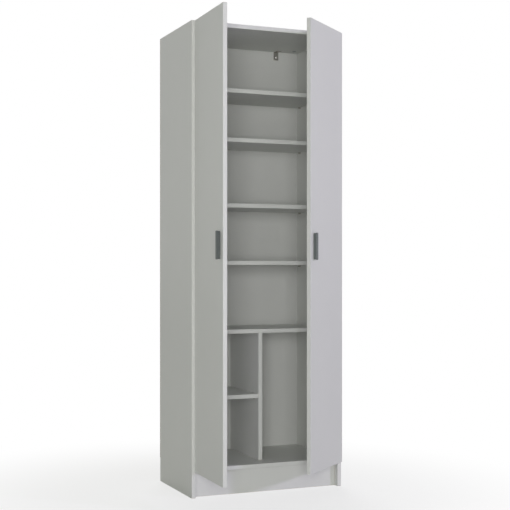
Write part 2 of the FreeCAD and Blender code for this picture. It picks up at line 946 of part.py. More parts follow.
def left_hand_nodes(opening):
    """The pieces that each side has, for a left door open by opening degrees."""
    fixed = {
        "hinge_plates": hinge_group(mounting_plate),
        "hinge_arms": hinge_group(hinge_arm),
        "arm_pins": hinge_group(arm_pin),
        "arm_screws": hinge_group(arm_screw),
        "plate_screws": hinge_group(plate_screws),
    }
    on_door = {
        "door": door(),
        "handle": handle(),
        "handle_screws": Part.makeCompound([handle_screw(place) for place in handle_screw_places()]),
        "hinge_cups": hinge_group(hinge_cup),
        "cup_pins": hinge_group(cup_pin),
        "cup_screws": hinge_group(cup_screws),
        "door_bumpers": Part.makeCompound([door_bumper(place) for place in door_bumper_places()]),
    }
    nodes = dict(fixed)
    nodes["hinge_links"] = link_swing(hinge_group(hinge_link), opening)
    for name, shape in on_door.items():
        nodes[name] = door_swing(shape, opening)
    return nodes


def all_nodes():
    nodes = carcass_nodes()
    nodes.update(fastener_nodes())
    for name, shape in left_hand_nodes(left_door_angle).items():
        nodes["left_" + name] = shape
    for name, shape in left_hand_nodes(right_door_angle).items():
        nodes["right_" + name] = mirrored(shape)
    return nodes


os.makedirs("parts", exist_ok=True)
for node_name, node_shape in all_nodes().items():
    node_shape.exportStep("parts/" + node_name + ".step")
    print(node_name, len(node_shape.Solids), "solids")
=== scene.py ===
import logging
import math
from dataclasses import dataclass, field
from enum import Enum
from typing import Callable

import bmesh
import bpy
from mathutils import Matrix, Vector


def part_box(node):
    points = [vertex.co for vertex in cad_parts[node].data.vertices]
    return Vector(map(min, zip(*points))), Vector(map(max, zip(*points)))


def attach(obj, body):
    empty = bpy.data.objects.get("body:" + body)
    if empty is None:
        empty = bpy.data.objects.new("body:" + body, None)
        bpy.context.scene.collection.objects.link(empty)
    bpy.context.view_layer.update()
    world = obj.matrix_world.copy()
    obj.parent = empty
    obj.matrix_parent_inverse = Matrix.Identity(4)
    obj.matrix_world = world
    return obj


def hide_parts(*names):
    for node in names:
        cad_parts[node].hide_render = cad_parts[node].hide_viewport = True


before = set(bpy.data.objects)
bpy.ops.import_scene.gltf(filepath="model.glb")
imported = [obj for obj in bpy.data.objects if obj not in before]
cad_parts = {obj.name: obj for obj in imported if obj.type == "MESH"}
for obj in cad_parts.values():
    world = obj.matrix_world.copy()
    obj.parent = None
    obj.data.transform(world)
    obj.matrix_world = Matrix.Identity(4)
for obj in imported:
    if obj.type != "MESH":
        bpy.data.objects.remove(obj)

# The storage cupboard's looks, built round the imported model. Sizes are in millimetres until they
# reach Blender, which works in metres.

Place = tuple[float, float, float]
Piece = bpy.types.Object
Material = bpy.types.Material
Tree = bpy.types.NodeTree
Node = bpy.types.Node
Socket = bpy.types.NodeSocket

LOG = logging.getLogger("cupboard")
MM = 0.001
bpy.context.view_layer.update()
# The share of a face's normal from which it counts as looking along an axis.
FACING = 0.9
# Metres within which two places count as one.
NEAR = 1e-6
# Metres within which points merge, in a copied CAD mesh and after a bevel or a cut.
CAD_REACH = 1e-5
MERGE_REACH = 4e-6
# The colour inputs and output of a Mix node, whose names its other sockets share.
MIX_A, MIX_B, MIXED = 6, 7, 2
WHITE = (1, 1, 1, 1)


def metres(x: float, y: float, z: float) -> Vector:
    """Turn a place in millimetres into metres."""
    return Vector((x, y, z)) * MM


def linear(code: str) -> tuple[float, float, float, float]:
    """Turn an sRGB hex colour into linear values.

    Args:
        code: The colour as six hex digits.

    Returns:
        Red, green, blue and a full alpha, for a node socket.
    """
    parts = [int(code[step:step + 2], 16) / 255 for step in (0, 2, 4)]
    red, green, blue = (part / 12.92 if part <= 0.04045 else ((part + 0.055) / 1.055) ** 2.4
                        for part in parts)
    return red, green, blue, 1.0


def scale_for(size: float) -> float:
    """Give the texture scale at which one cell of a pattern is size millimetres wide."""
    return 1 / (size * MM)


def feed(tree: Tree, node: Node, inputs: dict) -> None:
    """Set or link a node's inputs.

    Args:
        tree: The node tree.
        node: The node.
        inputs: For an input's name or number, its value, the output that drives it, or the node
            whose first output does.
    """
    for key, source in inputs.items():
        if isinstance(source, Node):
            source = source.outputs[0]
        if isinstance(source, Socket):
            tree.links.new(source, node.inputs[key])
        else:
            node.inputs[key].default_value = source


def add_node(tree: Tree, kind: str, inputs: dict | None = None, **settings: object) -> Node:
    """Add one node with its settings and links.

    Args:
        tree: The node tree that takes the node.
        kind: The node's Blender type, without ShaderNode at its start.
        inputs: Its inputs, as feed takes them.
        settings: Attributes of the node.

    Returns:
        The new node.
    """
    node = tree.nodes.new("ShaderNode" + kind)
    for name, value in settings.items():
        setattr(node, name, value)
    feed(tree, node, inputs or {})
    return node


def new_material(name: str) -> tuple[Material, Tree, Node]:
    """Make a material with nodes.

    Args:
        name: The material's name.

    Returns:
        The material, its node tree and its Principled shader.
    """
    material = bpy.data.materials.new(name)
    material.use_nodes = True
    tree = material.node_tree
    return material, tree, tree.nodes["Principled BSDF"]


class Side(Enum):
    """Which of the two mirrored halves a piece belongs to."""

    LEFT = "left"
    RIGHT = "right"

    @property
    def flip(self) -> Matrix:
        """The mirror that takes a left-hand piece to this side."""
        return Matrix.Scale(-1 if self is Side.RIGHT else 1, 4, (1, 0, 0))


class Bare(Enum):
    """Faces of a board that show raw particle board, as (axis, sign)."""

    REAR = (1, 1)
    UNDER = (2, -1)
    LEFT_END = (0, -1)
    RIGHT_END = (0, 1)


@dataclass(frozen=True)
class Case:
    """Planes that several sub-assemblies share, with the doors shut."""

    inner: float = 299.0
    front: float = -33.0
    shelf_front: float = 47.0
    rear: float = 347.0
    door_inside: float = -35.0
    door_outside: float = -51.0


CASE = Case()


@dataclass(frozen=True)
class Swing:
    """The plan movement of a cup hinge: its pivots on the left side, with the door shut."""

    opening: float
    side: Side
    arm: tuple[float, float] = (-287.5, -4.5)
    cup: tuple[float, float] = (-305.7, -38.8)
    link_share: float = 0.25

    def door(self) -> Matrix:
        """Take a left-hand piece of the shut door to where it is at rest.

        Returns:
            The move, in the row frame.
        """
        arm = metres(*self.arm, 0)
        cup = metres(*self.cup, 0)
        link = Matrix.Rotation(math.radians(self.opening * self.link_share), 4, "Z")
        moved_cup = arm + link @ (cup - arm)
        turn = Matrix.Rotation(math.radians(-self.opening), 4, "Z")
        return self.side.flip @ Matrix.Translation(moved_cup) @ turn @ Matrix.Translation(-cup)


# Finishes

class Finish:
    """A finish: each one says what its shader's inputs take."""

    def inputs(self, tree: Tree, coords: Node) -> dict:
        """Add the nodes, from Texture Coordinate on, and give the shader's inputs."""
        raise NotImplementedError

    def material(self, name: str) -> Material:
        """Make the finish as a material.

        Args:
            name: The material's name.

        Returns:
            The material.
        """
        material, tree, shader = new_material(name)
        feed(tree, shader, self.inputs(tree, add_node(tree, "TexCoord")))
        return material


@dataclass(frozen=True)
class MelamineBoard(Finish):
    """Particle board faced with satin light grey melamine paper, its seen edges banded.

    The eye gets a quiet, even light grey with a pearly sheen, a hairline where each edge band
    meets the face, and coarse straw-coloured chips where an edge is left raw. Each board has its
    own: low and high are its corners in metres before it is swung, bare its raw faces, and
    unturn takes it from rest back to where its box is square.
    """

    low: Vector
    high: Vector
    bare: tuple[Bare, ...] = ()
    unturn: Matrix | None = None
    face: str = "D3D5D0"
    cloud: str = "D6D7D3"
    seam: str = "A5A6A2"
    chips: tuple[str, str, str] = ("8A6B47", "B8956A", "D2B68E")
    roughness: float = 0.44
    raw_roughness: float = 0.9
    cloud_size: float = 90.0
    cloud_share: float = 0.3
    speck_size: float = 4.0
    speck_share: float = 0.7
    print_range: tuple[float, float] = (0.33, 0.67)
    pore_size: float = 1.2
    chip_size: float = 2.6
    fines_size: float = 2.6 / 3
    band_thickness: float = 0.5
    seam_width: float = 0.35
    seam_strength: float = 0.7
    edge_below: float = 0.5
    raw_above: float = 0.7
    relief: float = 0.05

    def inputs(self, tree: Tree, coords: Node) -> dict:
        """Add the finish's nodes.

        Args:
            tree: The material's node tree.
            coords: Its Texture Coordinate node.

        Returns:
            The shader's inputs, as feed takes them.
        """
        place, facing = coords.outputs["Object"], coords.outputs["Normal"]
        if self.unturn is not None:
            place, facing = self.squared(tree, place, facing)
        local = add_node(tree, "VectorMath", {
            0: place, 1: (self.low + self.high) / 2}, operation="SUBTRACT")
        normals = add_node(tree, "SeparateXYZ", {0: facing})
        colour = self.with_seams(tree, self.paper(tree, local), local, normals)
        rough = self.roughness
        if self.bare:
            mask = self.raw_faces(tree, normals)
            colour = add_node(tree, "Mix", {
                0: mask, MIX_A: colour, MIX_B: self.pressed_chips(tree, local)},
                data_type="RGBA").outputs[MIXED]
            rough = add_node(tree, "Math", {
                0: mask, 1: self.raw_roughness - self.roughness, 2: self.roughness},
                operation="MULTIPLY_ADD")
        pores = add_node(tree, "TexNoise", {
            "Vector": local, "Scale": scale_for(self.pore_size), "Detail": 2.0})
        bump = add_node(tree, "Bump", {
            "Height": pores, "Strength": self.relief, "Distance": 0.0002})
        return {"Base Color": colour, "Roughness": rough, "Normal": bump}

    def squared(self, tree: Tree, place: Socket, facing: Socket) -> tuple[Node, Node]:
        """Turn the coordinates of a swung door back to its shut place.

        Args:
            tree: The node tree.
            place: The object's coordinates.
            facing: The object's normals.

        Returns:
            The coordinates and the normals, square to the door.
        """
        mirror = -1.0 if self.unturn.determinant() < 0 else 1.0
        turned = self.unturn @ Matrix.Scale(mirror, 4, (1, 0, 0))
        turn = {"Rotation": turned.to_euler(), "Scale": (mirror, 1.0, 1.0)}
        point = add_node(tree, "Mapping", {
            "Vector": place, "Location": turned.to_translation(), **turn}, vector_type="POINT")
        normal = add_node(tree, "Mapping", {"Vector": facing, **turn}, vector_type="VECTOR")
        return point, normal

    def paper(self, tree: Tree, local: Node) -> Socket:
        """Give the printed paper its faint cloud and finer specks.

        Args:
            tree: The node tree.
            local: Coordinates from the board's centre.

        Returns:
            The colour's output.
        """
        # The paper's specks are under 0.5 mm: they are drawn at 4 mm so that they show.
        cloud = add_node(tree, "TexNoise", {
            "Vector": local, "Scale": scale_for(self.cloud_size), "Detail": 3.0})
        speck = add_node(tree, "TexNoise", {
            "Vector": local, "Scale": scale_for(self.speck_size), "Detail": 2.0})
        share = add_node(tree, "Math", {0: cloud, 1: self.cloud_share}, operation="MULTIPLY")
        both = add_node(tree, "Math", {0: speck, 1: self.speck_share, 2: share},
                        operation="MULTIPLY_ADD")
        low, high = self.print_range
        spread = add_node(tree, "MapRange", {0: both, 1: low, 2: high})
        return add_node(tree, "Mix", {
            0: spread, MIX_A: linear(self.face), MIX_B: linear(self.cloud)},
            data_type="RGBA").outputs[MIXED]

    def with_seams(self, tree: Tree, colour: Socket, local: Node, normals: Node) -> Socket:
        """Draw the hairline between each edge band and the board's two faces.

        Args:
            tree: The node tree.
            colour: The paper's colour.
            local: Coordinates from the board's centre.
            normals: The board's normals, taken apart.

        Returns:
            The colour's output.
        """
        half = (self.high - self.low) / 2
        thin = min(range(3), key=lambda axis: half[axis])
        apart = add_node(tree, "SeparateXYZ", {0: local})
        offset = add_node(tree, "Math", {0: apart.outputs[thin]}, operation="ABSOLUTE")
        depth = add_node(tree, "Math", {0: half[thin], 1: offset}, operation="SUBTRACT")
        line = add_node(tree, "Math", {
            0: depth, 1: self.band_thickness * MM, 2: self.seam_width * MM / 2},
            operation="COMPARE")
        share = normals.outputs[thin]
        for operation, term in (("ABSOLUTE", {}), ("LESS_THAN", {1: self.edge_below}),
                                ("MULTIPLY", {1: line}), ("MULTIPLY", {1: self.seam_strength})):
            share = add_node(tree, "Math", {0: share, **term}, operation=operation)
        return add_node(tree, "Mix", {0: share, MIX_A: colour, MIX_B: linear(self.seam)},
                        data_type="RGBA").outputs[MIXED]

    def raw_faces(self, tree: Tree, normals: Node) -> Node:
        """Find the faces that carry no band.

        Args:
            tree: The node tree.
            normals: The board's normals, taken apart.

        Returns:
            A mask, 1 on the raw faces and 0 elsewhere.
        """
        mask = 0.0
        for edge in self.bare:
            axis, sign = edge.value
            lean = add_node(tree, "Math", {0: normals.outputs[axis], 1: float(sign)},
                            operation="MULTIPLY")
            raw = add_node(tree, "Math", {0: lean, 1: self.raw_above}, operation="GREATER_THAN")
            mask = add_node(tree, "Math", {0: mask, 1: raw}, operation="MAXIMUM")
        return mask

    def pressed_chips(self, tree: Tree, local: Node) -> Socket:
        """Draw the pressed wood chips of a raw edge, with fines between them.

        Args:
            tree: The node tree.
            local: Coordinates from the board's centre.

        Returns:
            The colour's output.
        """
        dark, middle, pale = (linear(code) for code in self.chips)
        chips = add_node(tree, "TexVoronoi", {
            "Vector": local, "Scale": scale_for(self.chip_size), "Randomness": 1.0})
        tone = add_node(tree, "SeparateColor", {0: chips.outputs["Color"]})
        straw = add_node(tree, "Mix", {0: tone, MIX_A: dark, MIX_B: middle}, data_type="RGBA")
        fines = add_node(tree, "TexNoise", {
            "Vector": local, "Scale": scale_for(self.fines_size), "Detail": 3.0})
        return add_node(tree, "Mix", {
            0: fines, MIX_A: straw.outputs[MIXED], MIX_B: pale}, data_type="RGBA").outputs[MIXED]


@dataclass(frozen=True)
class LacqueredFibreboard(Finish):
    """Thin high-density fibreboard, lacquered light grey inside and left brown outside.

    The eye gets a flat, duller grey behind the shelves, and from behind a felted brown with
    short darker fibres.
    """

    lacquer: str = "CACBC7"
    lacquer_cloud: str = "D0D1CD"
    fibre: str = "85664A"
    dark_fibre: str = "6B4F37"
    pale_fibre: str = "9C7C5C"
    joint_shade: str = "3A2C20"
    roughness: float = 0.62
    fibre_size: float = 3.0
    fibre_stretch: Place = (1.0, 1.0, 2.6)
    fibre_range: tuple[float, float] = (0.3, 0.7)
    cloud_size: float = 60.0
    cloud_shares: tuple[float, float] = (0.6, 0.5)
    joint_level: float = 619.0
    joint_width: float = 0.9
    inside_below: float = -0.5
    relief: float = 0.15

    def inputs(self, tree: Tree, coords: Node) -> dict:
        """Add the finish's nodes.

        Args:
            tree: The material's node tree.
            coords: Its Texture Coordinate node.

        Returns:
            The shader's inputs, as feed takes them.
        """
        place = coords.outputs["Object"]
        # Fibres are about 0.1 by 2 mm: drawn about 1 by 3 mm so that they show from behind.
        drawn = add_node(tree, "Mapping", {"Vector": place, "Scale": self.fibre_stretch})
        fibre = add_node(tree, "TexNoise", {
            "Vector": drawn, "Scale": scale_for(self.fibre_size), "Detail": 5.0,
            "Roughness": 0.7})
        cloud = add_node(tree, "TexNoise", {
            "Vector": place, "Scale": scale_for(self.cloud_size), "Detail": 2.0})
        low, high = self.fibre_range
        spread = add_node(tree, "MapRange", {0: fibre, 1: low, 2: high})
        brown_cloud, grey_cloud = (
            add_node(tree, "Math", {0: cloud, 1: share}, operation="MULTIPLY")
            for share in self.cloud_shares)
        level = add_node(tree, "SeparateXYZ", {0: place}).outputs["Z"]
        joint = add_node(tree, "Math", {
            0: level, 1: self.joint_level * MM, 2: self.joint_width * MM / 2},
            operation="COMPARE")
        normals = add_node(tree, "SeparateXYZ", {0: coords.outputs["Normal"]})
        inside = add_node(tree, "Math", {
            0: normals.outputs["Y"], 1: self.inside_below}, operation="LESS_THAN")
        grey = add_node(tree, "Mix", {
            0: grey_cloud, MIX_A: linear(self.lacquer), MIX_B: linear(self.lacquer_cloud)},
            data_type="RGBA").outputs[MIXED]
        colour = linear(self.dark_fibre)
        for share, shade in ((spread, linear(self.fibre)), (brown_cloud, linear(self.pale_fibre)),
                             (joint, linear(self.joint_shade)), (inside, grey)):
            colour = add_node(tree, "Mix", {0: share, MIX_A: colour, MIX_B: shade},
                              data_type="RGBA").outputs[MIXED]
        bump = add_node(tree, "Bump", {
            "Height": fibre, "Strength": self.relief, "Distance": 0.0003})
        return {"Base Color": colour, "Roughness": self.roughness, "Normal": bump}


@dataclass(frozen=True)
class Grained(Finish):
    """A finish with one grain, which tints it and may dull it and stand in relief.

    Rough is left out where the gloss is even. Fixed holds the shader's other even values.
    """

    colour: str
    shade: str
    grain_size: float
    smooth: float
    rough: float | None = None
    grain_range: tuple[float, float] = (0.3, 0.7)
    detail: float = 2.0
    crumble: float = 0.5
    stretch: Place | None = None
    relief: float = 0.0
    fixed: tuple[tuple[str, float], ...] = ()

    def inputs(self, tree: Tree, coords: Node) -> dict:
        """Add the finish's nodes.

        Args:
            tree: The material's node tree.
            coords: Its Texture Coordinate node.

        Returns:
            The shader's inputs, as feed takes them.
        """
        place = coords.outputs["Object"]
        if self.stretch:
            place = add_node(tree, "Mapping", {"Vector": place, "Scale": self.stretch})
        grain = add_node(tree, "TexNoise", {
            "Vector": place, "Scale": scale_for(self.grain_size), "Detail": self.detail,
            "Roughness": self.crumble})
        tint = add_node(tree, "Mix", {
            0: grain, MIX_A: linear(self.shade), MIX_B: linear(self.colour)}, data_type="RGBA")
        taken = dict(self.fixed) | {"Base Color": tint.outputs[MIXED], "Roughness": self.smooth}
        if self.rough is not None:
            low, high = self.grain_range
            taken["Roughness"] = add_node(tree, "MapRange", {
                0: grain, 1: low, 2: high, 3: self.smooth, 4: self.rough})
        if self.relief:
            taken["Normal"] = add_node(tree, "Bump", {
                "Height": grain, "Strength": self.relief, "Distance": 0.0001})
        return taken


@dataclass(frozen=True)
class MouldedPlastic(Grained):
    """Dark grey ABS with a fine spark-eroded grain.

    The eye gets a soft satin gleam on the crown and an even dull grey on the sides. The real
    grain is about 0.1 mm: it is drawn at 1.1 mm so that it shows.
    """

    colour: str = "636968"
    shade: str = "565D5C"
    grain_size: float = 1.1
    smooth: float = 0.42
    detail: float = 3.0
    relief: float = 0.12


@dataclass(frozen=True)
class BareBeech(Grained):
    """Turned beech dowel, pale pinkish straw with short dark flecks along the grain."""

    colour: str = "DDBE92"
    shade: str = "B98D5E"
    grain_size: float = 1.5
    smooth: float = 0.7
    detail: float = 4.0
    stretch: Place = (0.15, 1.0, 1.0)


@dataclass(frozen=True)
class ClearPad(Grained):
    """Soft clear polyurethane: a milky bead that takes the tint of the board behind it."""

    colour: str = "E4E6E2"
    shade: str = "D6D8D4"
    grain_size: float = 2.0
    smooth: float = 0.22
    fixed: tuple[tuple[str, float], ...] = (("Transmission Weight", 0.6), ("IOR", 1.49))


@dataclass(frozen=True)
class Metal(Grained):
    """A plated, cast or drawn metal, whose gloss wanders a little over its skin."""

    detail: float = 4.0
    crumble: float = 0.6
    relief: float = 0.05
    fixed: tuple[tuple[str, float], ...] = (("Metallic", 1.0),)


# Nickel plate on pressed steel: the eye gets a clean, faintly warm silver.
NICKEL = Metal("D2CFC8", "C8C5BE", 9.0, 0.2, 0.28, relief=0.02)
# Zinc as it leaves the die: a duller, bluish silver with a sandy skin.
ZINC = Metal("AEB0B2", "96989B", 2.0, 0.4, 0.55, relief=0.2)
# Bright drawn steel wire: a plain grey silver, faintly streaked.
STEEL = Metal("B4B4B2", "9C9C9A", 1.5, 0.3, 0.45)


# Modelling by hand

class Editing:
    """Edit mode on one object, with nothing selected at the start."""

    def __init__(self, piece: Piece) -> None:
        """Remember the object."""
        self.piece = piece

    def __enter__(self) -> "Editing":
        """Go into edit mode, where the selection goes by points until it is changed.

        Returns:
            This object, to select and shape with.
        """
        only(self.piece)
        bpy.ops.object.mode_set(mode="EDIT")
        bpy.ops.mesh.select_mode(type="VERT")
        bpy.ops.mesh.select_all(action="DESELECT")
        return self

    def __exit__(self, *reason: object) -> None:
        """Come back to object mode."""
        bpy.ops.object.mode_set(mode="OBJECT")

    def faces(self, wanted: Callable[[bmesh.types.BMFace], bool]) -> None:
        """Select the faces that wanted picks, and nothing else."""
        self.pick("FACE", lambda mesh: mesh.faces, wanted)

    def edges(self, wanted: Callable[[bmesh.types.BMEdge], bool]) -> None:
        """Select the edges that wanted picks, and nothing else."""
        self.pick("EDGE", lambda mesh: mesh.edges, wanted)

    def rim(self) -> None:
        """Select the edges of the highest ring."""
        top = max(vert.co.z for vert in bmesh.from_edit_mesh(self.piece.data).verts)
        self.edges(lambda edge: all(vert.co.z > top - NEAR for vert in edge.verts))

    def underside(self) -> None:
        """Select the faces that look down."""
        self.faces(lambda face: face.normal.z < -FACING)

    def pick(self, kind: str, parts: Callable, wanted: Callable) -> None:
        """Select parts of one kind, and nothing else.

        Args:
            kind: Blender's select mode.
            parts: Gives the faces or edges of a mesh.
            wanted: Says whether a part is picked.
        """
        bpy.ops.mesh.select_mode(type=kind)
        bpy.ops.mesh.select_all(action="DESELECT")
        mesh = bmesh.from_edit_mesh(self.piece.data)
        for part in parts(mesh):
            if wanted(part):
                part.select_set(True)
        mesh.select_flush(True)
        bmesh.update_edit_mesh(self.piece.data)

    def draw(self, rise: float) -> None:
        """Extrude what is selected by rise millimetres upwards."""
        bpy.ops.mesh.extrude_region_move(TRANSFORM_OT_translate={"value": (0, 0, rise * MM)})

    def step(self, inset: float, rise: float) -> None:
        """Inset the selected face and extrude what is left of it, in millimetres."""
        bpy.ops.mesh.inset(thickness=inset * MM, depth=0)
        self.draw(rise)


def only(piece: Piece) -> None:
    """Select one object and make it active.

    Args:
        piece: The object.
    """
    bpy.ops.object.select_all(action="DESELECT")
    piece.select_set(True)
    bpy.context.view_layer.objects.active = piece


def added(name: str) -> Piece:
    """Name the object that an operator has just added.

    Args:
        name: Its name.

    Returns:
        The object.
    """
    piece = bpy.context.active_object
    piece.name = name
    piece.data.name = name
    return piece


def block(name: str, low: Place, high: Place) -> Piece:
    """Add a block between two corners in millimetres, ready to be shaped.

    Args:
        name: The object's name.
        low: Its lowest corner.
        high: Its highest corner.

    Returns:
        The object, its place in its mesh.
    """
    first, last = metres(*low), metres(*high)
    bpy.ops.object.select_all(action="DESELECT")
    bpy.ops.mesh.primitive_cube_add(size=1, location=(first + last) / 2, scale=last - first)
    piece = added(name)
    settle(piece)
    return piece


def round_bar(name: str, radius: float, length: float, sides: int, base: float = 0) -> Piece:
    """Add an upright round bar over the origin, ready to be shaped.

    Args:
        name: The object's name.
        radius: Its radius in millimetres.
        length: Its length in millimetres.
        sides: How many sides stand for the circle.
        base: The level of its lower end in millimetres.

    Returns:
        The object, its place in its mesh.
    """
    bpy.ops.object.select_all(action="DESELECT")
    bpy.ops.mesh.primitive_cylinder_add(vertices=sides, radius=radius * MM, depth=length * MM,
                                        location=metres(0, 0, base + length / 2))
    piece = added(name)
    settle(piece)
    return piece


def settle(piece: Piece, move: Matrix | None = None) -> None:
    """Put an object's place, and a further move, into its mesh.

    Args:
        piece: The object.
        move: A move in the row frame, made last.
    """
    whole = (move or Matrix.Identity(4)) @ piece.matrix_basis
    piece.data.transform(whole)
    piece.matrix_basis = Matrix.Identity(4)
    if whole.determinant() < 0:
        piece.data.flip_normals()


def apply_modifier(piece: Piece, kind: str, **settings: object) -> None:
    """Add a modifier and apply it.

    Args:
        piece: The object.
        kind: The modifier's Blender type.
        settings: Its attributes.
    """
    only(piece)
    modifier = piece.modifiers.new(kind.title(), kind)
    for name, value in settings.items():
        setattr(modifier, name, value)
    bpy.ops.object.modifier_apply(modifier=modifier.name)


def soften(piece: Piece, width: float, segments: int = 2, angle: float = 35) -> None:
    """Round every edge sharper than an angle in degrees, by a width in millimetres."""
    apply_modifier(piece, "BEVEL", width=width * MM, segments=segments, limit_method="ANGLE",
                   angle_limit=math.radians(angle), use_clamp_overlap=True)


def carve(piece: Piece, cutter: Piece) -> None:
    """Cut one object out of another and delete the cutter."""
    apply_modifier(piece, "BOOLEAN", operation="DIFFERENCE", object=cutter, solver="EXACT")
    bpy.data.objects.remove(cutter)


def joined(name: str, pieces: list[Piece]) -> Piece:
    """Join objects into one.

    Args:
        name: The new name.
        pieces: What is joined.

    Returns:
        The object that holds them all.
    """
    only(pieces[0])
    for piece in pieces:
        piece.select_set(True)
    bpy.ops.object.join()
    return added(name)


def cleaned(piece: Piece) -> None:
    """Merge points that a bevel or a cut has left in one place.

    Args:
        piece: The object.
    """
    with Editing(piece):
        bpy.ops.mesh.select_all(action="SELECT")
        bpy.ops.mesh.remove_doubles(threshold=MERGE_REACH)


def smooth(piece: Piece, angle: float = 38) -> None:
    """Shade an object smooth, except over edges sharper than an angle in degrees."""
    only(piece)
    bpy.ops.object.shade_smooth_by_angle(angle=math.radians(angle))


def copy_of(model: Piece, name: str, move: Matrix | None = None) -> Piece:
    """Copy a model with a mesh of its own.

    Args:
        model: What is copied.
        name: The copy's name.
        move: Where the copy goes, in the row frame.

    Returns:
        The copy.
    """
    piece = bpy.data.objects.new(name, model.data.copy())
    piece.data.name = name
    bpy.context.scene.collection.objects.link(piece)
    if move is not None:
        settle(piece, move)
    return piece


def aimed(place: Place, direction: Place) -> Matrix:
    """Take an upright model from the origin to a place in millimetres, along direction."""
    turn = Vector(direction).to_track_quat("Z", "Y").to_matrix().to_4x4()
    return Matrix.Translation(metres(*place)) @ turn


def softened_copy(node: str, name: str, width: float) -> Piece:
    """Copy a CAD node, merge its loose triangles and round its edges.

    Args:
        node: The CAD node.
        name: The new piece's name.
        width: The rounding in millimetres.

    Returns:
        The new piece.
    """
    piece = copy_of(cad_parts[node], name)
    with Editing(piece):
        bpy.ops.mesh.select_all(action="SELECT")
        bpy.ops.mesh.remove_doubles(threshold=CAD_REACH)
        bpy.ops.mesh.dissolve_limited(angle_limit=math.radians(1))
        bpy.ops.mesh.normals_make_consistent(inside=False)
    soften(piece, width)
    cleaned(piece)
    smooth(piece)
    return piece


def finished(piece: Piece, body: str, material: Material, node: str) -> None:
    """Give a new piece its material, slot and body, and hide the CAD node that it stands for.

    Args:
        piece: The object.
        body: The body that carries it.
        material: Its finish.
        node: The CAD node that it replaces.
    """
    piece.data.materials.clear()
    piece.data.materials.append(material)
    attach(piece, body)
    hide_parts(node)


def set_out(model: Piece, name: str, moves: list[Matrix], body: str, material: Material,
            node: str) -> None:
    """Copy a model to its places, finish the copies and report them.

    Args:
        model: What is copied.
        name: The copies' name, before their numbers.
        moves: Where the copies go, in the row frame.
        body: The body that carries them.
        material: Their finish.
        node: The CAD node that they replace.
    """
    for number, move in enumerate(moves, 1):
        finished(copy_of(model, f"{name}_{number}", move), body, material, node)
    LOG.info("%s: %d", name, len(moves))


def dress(node: str, material: Material) -> None:
    """Give a CAD node its finish in every material slot, and report it.

    Args:
        node: The CAD node.
        material: Its finish.
    """
    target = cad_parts[node]
    if not target.material_slots:
        target.data.materials.append(material)
    for slot in target.material_slots:
        slot.material = material
    LOG.info("%s: dressed", node)


# Fastenings, each modelled once and copied

@dataclass(frozen=True)
class ScrewHead:
    """A raised countersunk head with a cross recess, and the start of its shank.

    Drive is half the length of the cross. The other shape values are shares: crown and recess of
    the rise, arm of the drive, and recess_floor of the cross at its mouth.
    """

    radius: float
    rise: float
    shank: float
    drive: float
    sides: int = 28
    crown: float = 0.92
    fullness: float = 0.62
    arm: float = 0.3
    recess: float = 1.4
    recess_floor: tuple[float, float] = (0.45, 0.7)

    def model(self) -> Piece:
        """Make the screw upright, its seat at the origin.

        Returns:
            The model.
        """
        head = round_bar("screw", self.radius, self.rise, self.sides)
        with Editing(head) as edit:
            edit.rim()
            bpy.ops.mesh.bevel(offset=self.rise * self.crown * MM, segments=4,
                               profile=self.fullness)
            edit.underside()
            edit.step(self.radius - self.shank, -self.shank * 2)
        self.cut_cross(head)
        smooth(head, angle=42)
        return head

    def cut_cross(self, head: Piece) -> None:
        """Cut the cross, with sides that draw in towards its floor.

        Args:
            head: The screw's head.
        """
        wide, thin = self.drive, self.drive * self.arm
        floor = self.rise - self.rise * self.recess
        for turn in (0, 90):
            blade = block("blade", (-wide, -thin / 2, floor), (wide, thin / 2, self.rise * 2))
            with Editing(blade) as edit:
                edit.underside()
                bpy.ops.transform.resize(value=(*self.recess_floor, 1),
                                         center_override=metres(0, 0, floor))
            settle(blade, Matrix.Rotation(math.radians(turn), 4, "Z"))
            carve(head, blade)


